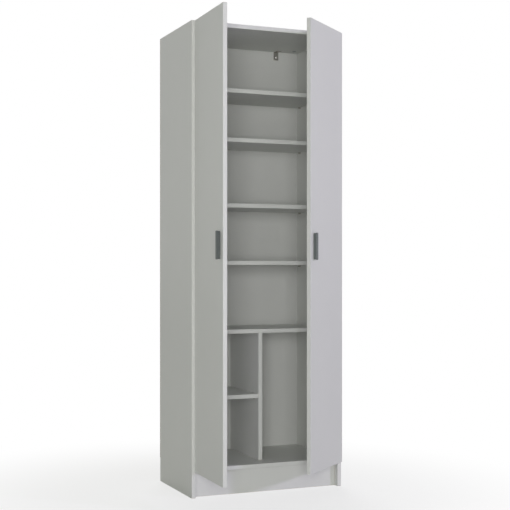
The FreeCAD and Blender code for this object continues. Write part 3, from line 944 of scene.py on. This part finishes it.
@dataclass
class Cams:
    """Cam locks in the undersides of the top, bottom and fixed shelf.

    Seats are each board's underside and front edge. The cross takes the driver and the throat
    the bolt, and a small arrow stands on the seen face across from the throat.
    """

    seats: tuple[tuple[float, float], ...] = (
        (96.0, CASE.front), (1784.0, CASE.front), (611.0, CASE.shelf_front))
    setback: float = 45.0
    distance: float = 34.0
    radius: float = 8.5
    lip: float = 0.35
    lip_width: float = 1.0
    drum: float = 12.0
    rim_width: float = 1.1
    well: float = 0.3
    throat_radius: float = 3.45
    throat_level: float = 8.0
    cross: tuple[float, float] = (4.2, 1.3)
    cross_levels: tuple[float, float] = (-1.0, 2.6)
    arrow_reach: tuple[float, float] = (4.9, 6.4)
    arrow_half: float = 0.9
    arrow_levels: tuple[float, float] = (-0.4, 0.1)
    arrow_tip: float = 0.1

    def model(self) -> Piece:
        """Make one cam upside down: its seen face is at the origin, facing down.

        Returns:
            The model.
        """
        cam = round_bar("cam", self.radius, self.lip, sides=40, base=-self.lip)
        with Editing(cam) as edit:
            edit.faces(lambda face: face.normal.z > FACING)
            edit.step(self.lip_width, self.drum)
            edit.underside()
            edit.step(self.rim_width, self.well)
        throat = round_bar("throat", self.throat_radius, self.drum, sides=24)
        settle(throat, aimed((0, 0, self.throat_level), (-1, 0, 0)))
        carve(cam, throat)
        mouth, floor = self.cross_levels
        for wide, thin in (self.cross, self.cross[::-1]):
            carve(cam, block("cross", (-wide, -thin, mouth), (wide, thin, floor)))
        cleaned(cam)
        cam = joined("cam", [cam, self.arrow()])
        smooth(cam, angle=40)
        return cam

    def arrow(self) -> Piece:
        """Make the raised arrow of the seen face.

        Returns:
            The arrow.
        """
        (tail, tip), (low, high) = self.arrow_reach, self.arrow_levels
        arrow = block("arrow", (tail, -self.arrow_half, low), (tip, self.arrow_half, high))
        with Editing(arrow) as edit:
            edit.faces(lambda face: face.normal.x > FACING)
            bpy.ops.transform.resize(value=(1, self.arrow_tip, 1),
                                     center_override=metres(tip, 0, 0))
        return arrow

    def build(self, zinc: Material) -> None:
        """Set the cams in their boards.

        Args:
            zinc: Their finish.
        """
        model = self.model()
        x = self.distance - CASE.inner
        moves = [side.flip @ Matrix.Translation(metres(x, y, level))
                 for level, front in self.seats
                 for y in (front + self.setback, CASE.rear - self.setback) for side in Side]
        set_out(model, "cam", moves, "carcass", zinc, "cam_locks")
        bpy.data.objects.remove(model)


@dataclass
class BackNails:
    """Flat-headed nails of the back's two halves, along its sides and across its middle."""

    face: float = 350.0
    side_x: float = -307.0
    side_start: float = 136.0
    side_run: float = 1624.0
    side_gaps: int = 5
    middle_x: float = -149.5
    middle_levels: tuple[float, ...] = (104.0, 1792.0, 615.0, 623.0)
    radius: float = 2.95
    head: float = 0.45
    sunk: float = 0.33
    rounding: float = 0.25
    shoulder: float = 2.2
    shank: float = 15.0

    def build(self, steel: Material) -> None:
        """Set the nails in the back.

        Args:
            steel: Their finish.
        """
        model = round_bar("nail", self.radius, self.head, sides=20, base=-self.sunk)
        with Editing(model) as edit:
            edit.rim()
            bpy.ops.mesh.bevel(offset=self.rounding * MM, segments=2)
            edit.underside()
            edit.step(self.shoulder, -self.shank)
        smooth(model)
        places = [(self.side_x, self.side_start + self.side_run * row / self.side_gaps)
                  for row in range(self.side_gaps + 1)]
        places += [(self.middle_x, level) for level in self.middle_levels]
        moves = [side.flip @ aimed((x, self.face, z), (0, 1, 0)) for x, z in places
                 for side in Side]
        set_out(model, "back_nail", moves, "carcass", steel, "back_nails")
        bpy.data.objects.remove(model)


@dataclass
class ShelfPins:
    """Four pins under each loose shelf, with their heads inside the bay."""

    levels: dict[str, float] = field(default_factory=lambda: {
        "shelf_1": 1551.0, "shelf_2": 1359.0, "shelf_3": 1103.0, "shelf_4": 879.0,
        "half_shelf": 356.0})
    divider_face: float = -8.0
    setback: float = 35.0
    radius: float = 3.5
    head: float = 9.0
    rounding: float = 0.8
    shoulder: float = 1.0
    stem: float = 7.6
    stem_taper: float = 0.85

    def model(self) -> Piece:
        """Make one shelf pin upright, its head's shoulder at the origin.

        Returns:
            The model.
        """
        pin = round_bar("pin", self.radius, self.head, sides=28)
        with Editing(pin) as edit:
            edit.rim()
            bpy.ops.mesh.bevel(offset=self.rounding * MM, segments=4)
            edit.underside()
            edit.step(self.shoulder, -self.stem)
            bpy.ops.transform.resize(value=(self.stem_taper, self.stem_taper, 1),
                                     center_override=(0, 0, 0))
        smooth(pin)
        return pin

    def build(self, nickel: Material) -> None:
        """Set the pins under their shelves.

        Args:
            nickel: Their finish.
        """
        model = self.model()
        for shelf, level in self.levels.items():
            right = self.divider_face if shelf == "half_shelf" else CASE.inner
            moves = [aimed((x, y, level - self.radius), (way, 0, 0))
                     for y in (CASE.shelf_front + self.setback, CASE.rear - self.setback)
                     for x, way in ((-CASE.inner, 1), (right, -1))]
            set_out(model, f"{shelf}_pin", moves, "carcass", nickel,
                    f"{shelf}_pins")
        bpy.data.objects.remove(model)


@dataclass
class WallBrackets:
    """The two angle brackets of the wall fixing, and their screws into the top."""

    rounding: float = 0.6
    screw: ScrewHead = ScrewHead(4.5, 1.3, 1.7, 2.6)
    screw_x: float = 200.0
    screw_y: float = 325.0
    screw_z: float = 1782.0

    def build(self, nickel: Material) -> None:
        """Round off the brackets and set their screws.

        Args:
            nickel: Their finish.
        """
        brackets = softened_copy("wall_brackets", "rounded_wall_brackets", self.rounding)
        finished(brackets, "carcass", nickel, "wall_brackets")
        model = self.screw.model()
        moves = [aimed((x, self.screw_y, self.screw_z), (0, 0, -1))
                 for x in (-self.screw_x, self.screw_x)]
        set_out(model, "bracket_screw", moves, "carcass", nickel,
                "wall_bracket_screws")
        bpy.data.objects.remove(model)


@dataclass
class Fastenings:
    """All fastenings of the carcass."""

    cams: Cams = field(default_factory=Cams)
    nails: BackNails = field(default_factory=BackNails)
    pins: ShelfPins = field(default_factory=ShelfPins)
    brackets: WallBrackets = field(default_factory=WallBrackets)

    def build(self) -> None:
        """Make every fastening."""
        nickel = NICKEL.material("bright_nickel_plate")
        self.cams.build(ZINC.material("die_cast_zinc"))
        self.nails.build(STEEL.material("drawn_steel_wire"))
        self.pins.build(nickel)
        self.brackets.build(nickel)
        dress("cam_bolts", nickel)
        dress("wooden_dowels", BareBeech().material("bare_beech"))


@dataclass
class Carcass:
    """The fixed boards: sides, top, bottom, plinth, divider, shelves and back."""

    uprights: tuple[str, ...] = ("left_side_panel", "right_side_panel", "divider")
    crossings: tuple[str, ...] = (
        "top_panel", "bottom_panel", "middle_shelf", "shelf_1", "shelf_2", "shelf_3", "shelf_4",
        "half_shelf")
    backs: tuple[str, ...] = ("upper_back", "lower_back")

    def build(self) -> None:
        """Dress every board, each with the edges that its place leaves raw."""
        ends = (Bare.LEFT_END, Bare.RIGHT_END)
        raw = dict.fromkeys(self.uprights, (Bare.REAR, Bare.UNDER))
        raw |= dict.fromkeys(self.crossings, (Bare.REAR, *ends))
        raw["plinth_board"] = (Bare.UNDER, *ends)
        for node, bare in raw.items():
            finish = MelamineBoard(*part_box(node), bare)
            dress(node, finish.material(f"melamine_board_{node}"))
        back = LacqueredFibreboard().material("lacquered_fibreboard")
        for node in self.backs:
            dress(node, back)


# Doors

@dataclass
class Pull:
    """A moulded pull: a crowned bar with hollowed sides and a fine step round its front.

    Hollow and step are each an inset and a depth. The least areas, in square metres, tell the
    flat faces from those of the rounding.
    """

    swing: Swing
    centre: tuple[float, float] = (-31.5, 948.5)
    length: float = 102.0
    width: float = 14.0
    depth: float = 15.9
    crown: float = 3.4
    hollow: tuple[float, float] = (2.2, -1.6)
    step: tuple[float, float] = (0.9, -0.35)
    least_side: float = 5e-4
    least_front: float = 4e-4
    rounding: float = 0.45

    def build(self, body: str) -> None:
        """Make the pull, set it on its door and report it.

        Args:
            body: The door's body.
        """
        x, z = self.centre
        side = self.swing.side.value
        tip = CASE.door_outside - self.depth
        bar = block(f"{side}_pull", (x - self.width / 2, tip, z - self.length / 2),
                    (x + self.width / 2, CASE.door_outside, z + self.length / 2))
        with Editing(bar) as edit:
            edit.edges(lambda edge: all(abs(vert.co.y - tip * MM) < NEAR for vert in edge.verts))
            bpy.ops.mesh.bevel(offset=self.crown * MM, segments=5, profile=0.5)
            edit.faces(lambda face: abs(face.normal.x) > FACING
                       and face.calc_area() > self.least_side)
            bpy.ops.mesh.inset(thickness=self.hollow[0] * MM, depth=self.hollow[1] * MM)
            edit.faces(lambda face: face.normal.y < -FACING
                       and face.calc_area() > self.least_front)
            bpy.ops.mesh.inset(thickness=self.step[0] * MM, depth=self.step[1] * MM)
        soften(bar, self.rounding, segments=3, angle=30)
        smooth(bar, angle=30)
        settle(bar, self.swing.door())
        finished(bar, body, MouldedPlastic().material(f"moulded_grey_abs_{side}"),
                 f"{side}_handle")
        LOG.info("%s_pull: 1", side)


@dataclass
class CupHinges:
    """Three cup hinges on one side, modelled for the left side with its door shut.

    The cup is drawn in towards its floor, and its flange stands a little proud of the door. The
    slot is where the link goes in, between two lugs that hold the pin.
    """

    swing: Swing
    levels: tuple[float, ...] = (198.0, 948.5, 1699.0)
    cup_x: float = -292.1
    cup_radius: float = 17.4
    cup_depth: float = 12.8
    cup_corner: float = 0.1
    cup_floor: float = 0.92
    cup_wall: float = 0.8
    cup_rounding: float = 0.25
    cup_sides: int = 64
    flange_lift: float = 0.45
    flange_half: tuple[float, float] = (19.0, 28.5)
    flange_corner: float = 7.0
    slot_half: float = 5.2
    slot_floor: float = -42.1
    slot_reach: float = 20.0
    slot_top: float = 3.0
    lug_thickness: float = 2.2
    lug_radius: float = 2.65
    lug_reach: float = 16.9
    lug_rounding: float = 0.5
    carried: tuple[tuple[str, float, str], ...] = (
        ("hinge_arms", 0.4, "carcass"), ("hinge_plates", 0.5, "carcass"),
        ("hinge_links", 0.35, "link_set"))

    def build(self, nickel: Material) -> None:
        """Make every visible piece of the hinges.

        Args:
            nickel: Their finish.
        """
        side = self.swing.side.value
        model = self.cup_model()
        moves = [self.swing.door() @ Matrix.Translation(metres(0, 0, level))
                 for level in self.levels]
        set_out(model, f"{side}_cup", moves, f"{side}_door_leaf", nickel,
                f"{side}_hinge_cups")
        bpy.data.objects.remove(model)
        for part, rounding, body in self.carried:
            node = f"{side}_{part}"
            piece = softened_copy(node, f"rounded_{node}", rounding)
            carrier = body if body == "carcass" else f"{side}_{body}"
            finished(piece, carrier, nickel, node)
            LOG.info("%s: rounded", node)
        for part in ("arm_pins", "cup_pins"):
            dress(f"{side}_{part}", nickel)

    def cup_model(self) -> Piece:
        """Make one pressed cup at level 0 in the shut door, its mouth towards the carcass.

        Returns:
            The model.
        """
        bpy.ops.object.select_all(action="DESELECT")
        bpy.ops.mesh.primitive_circle_add(vertices=self.cup_sides, radius=self.cup_radius * MM,
                                          fill_type="NOTHING")
        cup = added("cup")
        with Editing(cup) as edit:
            bpy.ops.mesh.select_all(action="SELECT")
            edit.draw(-self.cup_depth * (1 - self.cup_corner))
            edit.draw(-self.cup_depth * self.cup_corner)
            bpy.ops.transform.resize(value=(self.cup_floor, self.cup_floor, 1))
            bpy.ops.mesh.edge_face_add()
            edit.rim()
            edit.draw(0)
            self.square_out(cup)
            bpy.ops.mesh.select_all(action="SELECT")
            bpy.ops.mesh.normals_make_consistent(inside=False)
        apply_modifier(cup, "SOLIDIFY", thickness=self.cup_wall * MM, offset=0.0)
        soften(cup, self.cup_rounding, angle=50)
        mouth = metres(self.cup_x, CASE.door_inside + self.flange_lift, 0)
        settle(cup, Matrix.Translation(mouth) @ Matrix.Rotation(math.radians(-90), 4, "X"))
        carve(cup, block(
            "slot", (self.cup_x - self.slot_reach, self.slot_floor, -self.slot_half),
            (self.swing.cup[0], CASE.door_inside + self.slot_top, self.slot_half)))
        smooth(cup, angle=30)
        return joined("cup", [cup, self.lug(-1), self.lug(1)])

    def square_out(self, cup: Piece) -> None:
        """Draw the new outer ring out to the flange's rounded rectangle.

        Args:
            cup: The cup, in edit mode.
        """
        mesh = bmesh.from_edit_mesh(cup.data)
        wide, tall = (part * MM for part in self.flange_half)
        corner = self.flange_corner * MM
        for vert in (vert for vert in mesh.verts if vert.select):
            angle = math.atan2(vert.co.y, vert.co.x)
            vert.co.x, vert.co.y = rounded_rectangle(angle, wide, tall, corner)
        bmesh.update_edit_mesh(cup.data)

    def lug(self, sign: int) -> Piece:
        """Make one of the two lugs that hold the cup's pin.

        Args:
            sign: 1 for the upper lug and -1 for the lower.

        Returns:
            The lug.
        """
        low, high = sorted((sign * self.slot_half, sign * (self.slot_half + self.lug_thickness)))
        (x, y), reach = self.swing.cup, self.lug_radius
        lug = block("lug", (self.cup_x - self.lug_reach, y - reach, low),
                    (x + reach, y + reach, high))
        soften(lug, self.lug_rounding)
        smooth(lug)
        return lug


def rounded_rectangle(angle: float, wide: float, tall: float,
                      corner: float) -> tuple[float, float]:
    """Find where a ray from the middle meets a rounded rectangle.

    Args:
        angle: The ray's angle in radians.
        wide: Half the width.
        tall: Half the height.
        corner: The corner radius.

    Returns:
        The point on the outline.
    """
    along, across = abs(math.cos(angle)), abs(math.sin(angle))
    reach = min(wide / max(along, 1e-9), tall / max(across, 1e-9))
    x, y = along * reach, across * reach
    if x > wide - corner and y > tall - corner:
        middle = Vector((wide - corner, tall - corner))
        ray = Vector((along, across))
        dot = middle.dot(ray)
        reach = dot + math.sqrt(max(dot * dot - middle.length_squared + corner * corner, 0))
        x, y = along * reach, across * reach
    return math.copysign(x, math.cos(angle)), math.copysign(y, math.sin(angle))


@dataclass(frozen=True)
class ScrewSet:
    """One kind of screw on the left side with its door shut.

    Each has its seat at (x, y), one step above or below a hinge or pull. Those on the door go in
    from behind, and the others from inside the cupboard.
    """

    kind: str
    head: ScrewHead
    on_door: bool
    x: float
    y: float
    levels: tuple[float, ...]
    steps: tuple[float, ...] = (0.0,)


@dataclass
class Door:
    """One door leaf with its pull, hinges, screws and soft pads."""

    swing: Swing
    low: Place = (-313.5, CASE.door_outside, 98.0)
    high: Place = (-1.5, CASE.door_inside, 1799.0)
    pad_x: float = -21.5
    pad_levels: tuple[float, ...] = (1792.0, 104.0)
    pad_radius: float = 4.2
    pad_height: float = 1.65
    pad_dome: float = 1.5

    def build(self) -> None:
        """Dress the leaf and make what it carries."""
        side = self.swing.side.value
        body = f"{side}_door_leaf"
        finish = MelamineBoard(metres(*self.low), metres(*self.high),
                               unturn=self.swing.door().inverted())
        dress(f"{side}_door", finish.material(f"melamine_board_{side}_door"))
        pull = Pull(self.swing)
        pull.build(body)
        nickel = NICKEL.material(f"nickel_plate_{side}_hinges")
        hinges = CupHinges(self.swing)
        hinges.build(nickel)
        self.screws(body, nickel, hinges, pull)
        self.soft_pads(body)

    def screws(self, body: str, nickel: Material, hinges: CupHinges, pull: Pull) -> None:
        """Set the screws of the cups, plates, arms and pull.

        Args:
            body: The door's body.
            nickel: Their finish.
            hinges: The hinges.
            pull: The pull.
        """
        side, plate = self.swing.side, CASE.inner
        inside, levels = CASE.door_inside, hinges.levels
        for screw in (
            ScrewSet("cup_screws", ScrewHead(4.0, 0.9, 1.5, 2.1), True,
                     hinges.cup_x + 9.5, inside + 0.95, levels, (-22.5, 22.5)),
            ScrewSet("plate_screws", ScrewHead(5.6, 1.5, 2.3, 3.0), False,
                     2.0 - plate, CASE.front + 37.0, levels, (-16.0, 16.0)),
            ScrewSet("arm_screws", ScrewHead(4.5, 1.4, 1.9, 2.4), False,
                     17.0 - plate, CASE.front + 66.0, levels),
            ScrewSet("handle_screws", ScrewHead(4.5, 1.3, 1.9, 2.4), True,
                     pull.centre[0], inside, (pull.centre[1],), (-32.0, 32.0)),
        ):
            model = screw.head.model()
            move, way, carrier = ((self.swing.door(), (0, 1, 0), body) if screw.on_door
                                  else (side.flip, (1, 0, 0), "carcass"))
            moves = [move @ aimed((screw.x, screw.y, level + step), way)
                     for level in screw.levels for step in screw.steps]
            name = f"{side.value}_{screw.kind}"
            set_out(model, name, moves, carrier, nickel, name)
            bpy.data.objects.remove(model)

    def soft_pads(self, body: str) -> None:
        """Set the clear pads inside the free edge.

        Args:
            body: The door's body.
        """
        side = self.swing.side.value
        model = round_bar("pad", self.pad_radius, self.pad_height, sides=28)
        with Editing(model) as edit:
            edit.rim()
            bpy.ops.mesh.bevel(offset=self.pad_dome * MM, segments=5)
        smooth(model)
        moves = [self.swing.door() @ aimed((self.pad_x, CASE.door_inside, level), (0, 1, 0))
                 for level in self.pad_levels]
        set_out(model, f"{side}_pad", moves, body,
                ClearPad().material(f"clear_polyurethane_{side}"),
                f"{side}_door_bumpers")
        bpy.data.objects.remove(model)


# Studio

@dataclass(frozen=True)
class Lamp:
    """A square lamp that faces the cupboard, its size and distance in metres.

    Azimuth is in degrees to the right of straight in front, and elevation above level. Level is
    the brightness that the lamp alone gives a white card facing it.
    """

    name: str
    azimuth: float
    elevation: float
    level: float
    size: float
    colour: str = "FFFFFF"
    distance: float = 6.0
    target: Place = (0.0, 0.0, 0.9)

    def build(self) -> None:
        """Set the lamp and report it."""
        turn, lift = math.radians(self.azimuth), math.radians(self.elevation)
        way = Vector((math.sin(turn) * math.cos(lift), -math.cos(turn) * math.cos(lift),
                      math.sin(lift)))
        bpy.ops.object.light_add(type="AREA", location=Vector(self.target) + way * self.distance)
        lamp = bpy.context.active_object
        lamp.name = self.name
        lamp.data.energy = self.level * (math.pi * self.distance) ** 2
        lamp.data.size = self.size
        lamp.data.color = linear(self.colour)[:3]
        lamp.rotation_euler = (-way).to_track_quat("-Z", "Y").to_euler()
        LOG.info("lamp: %s", self.name)


@dataclass
class Studio:
    """The plain pale floor, the soft light and the camera, in metres and degrees."""

    eye: Place = (-1.7212, -3.9673, 0.8692)
    heading: float = 22.93
    lens: float = 78.335
    sensor: float = 36.0
    shift: float = 12.455 / 510
    floor_size: float = 60.0
    floor_colour: str = "EDEDEB"
    floor_glow: float = 0.7
    shade_centre: Place = (-0.2, 0.0, 0.0)
    shade_reach: tuple[float, float] = (0.4, 1.5)
    sky_colour: str = "F4F6F0"
    sky: float = 0.29
    lamps: tuple[Lamp, ...] = (
        Lamp("front", -23, 2, 0.39, 1.7), Lamp("right", 41, 12.5, 0.25, 0.45, "E4D9FF"),
        Lamp("back", 165, 40, 0.35, 2.6))

    def build(self) -> None:
        """Make the studio and report it."""
        self.camera()
        self.floor()
        self.world()
        for lamp in self.lamps:
            lamp.build()
        LOG.info("studio: ready")

    def camera(self) -> None:
        """Set the camera where the photograph was taken from."""
        bpy.ops.object.camera_add(location=self.eye, rotation=(
            math.radians(90), 0, math.radians(-self.heading)))
        camera = bpy.context.active_object
        camera.data.lens = self.lens
        camera.data.sensor_width = self.sensor
        camera.data.shift_y = self.shift
        bpy.context.scene.camera = camera

    def floor(self) -> None:
        """Lay a floor that fades to white away from the cupboard and keeps its shadow."""
        bpy.ops.object.select_all(action="DESELECT")
        bpy.ops.mesh.primitive_plane_add(size=self.floor_size)
        floor = added("floor")
        material, tree, shader = new_material("matt_white_floor")
        feed(tree, shader, {"Base Color": linear(self.floor_colour), "Roughness": 0.9,
                            "Specular IOR Level": 0.1})
        coords = add_node(tree, "TexCoord")
        away = add_node(tree, "VectorMath", {
            0: coords.outputs["Object"], 1: self.shade_centre}, operation="DISTANCE")
        near, far = self.shade_reach
        white = add_node(tree, "MapRange", {
            0: away.outputs["Value"], 1: near, 2: far, 3: self.floor_glow, 4: 1.0},
            interpolation_type="SMOOTHSTEP")
        glow = add_node(tree, "Emission", {"Color": WHITE, "Strength": 1.0})
        path = add_node(tree, "LightPath")
        share = add_node(tree, "Math", {0: path.outputs["Is Camera Ray"], 1: white},
                         operation="MULTIPLY")
        mix = add_node(tree, "MixShader", {0: share, 1: shader, 2: glow})
        feed(tree, tree.nodes["Material Output"], {"Surface": mix})
        floor.data.materials.append(material)

    def world(self) -> None:
        """Set a soft sky, which the camera and shiny or clear pieces see as plain white."""
        world = bpy.data.worlds.new("soft_sky")
        bpy.context.scene.world = world
        world.use_nodes = True
        tree = world.node_tree
        tree.nodes.clear()
        fill = add_node(tree, "Background", {
            "Color": linear(self.sky_colour), "Strength": self.sky})
        white = add_node(tree, "Background", {"Color": WHITE, "Strength": 1.0})
        path = add_node(tree, "LightPath")
        seen = path.outputs["Is Camera Ray"]
        for ray in ("Is Glossy Ray", "Is Transmission Ray"):
            seen = add_node(tree, "Math", {0: seen, 1: path.outputs[ray]}, operation="MAXIMUM")
        mix = add_node(tree, "MixShader", {0: seen, 1: fill, 2: white})
        add_node(tree, "OutputWorld", {"Surface": mix})


def main() -> None:
    """Build the cupboard's looks in order."""
    logging.basicConfig(level=logging.INFO, format="%(name)s: %(message)s")
    bpy.context.scene.view_settings.view_transform = "Standard"
    Studio().build()
    Carcass().build()
    Fastenings().build()
    Door(Swing(91.6, Side.LEFT)).build()
    Door(Swing(40.7, Side.RIGHT)).build()


if __name__ == "__main__":
    main()
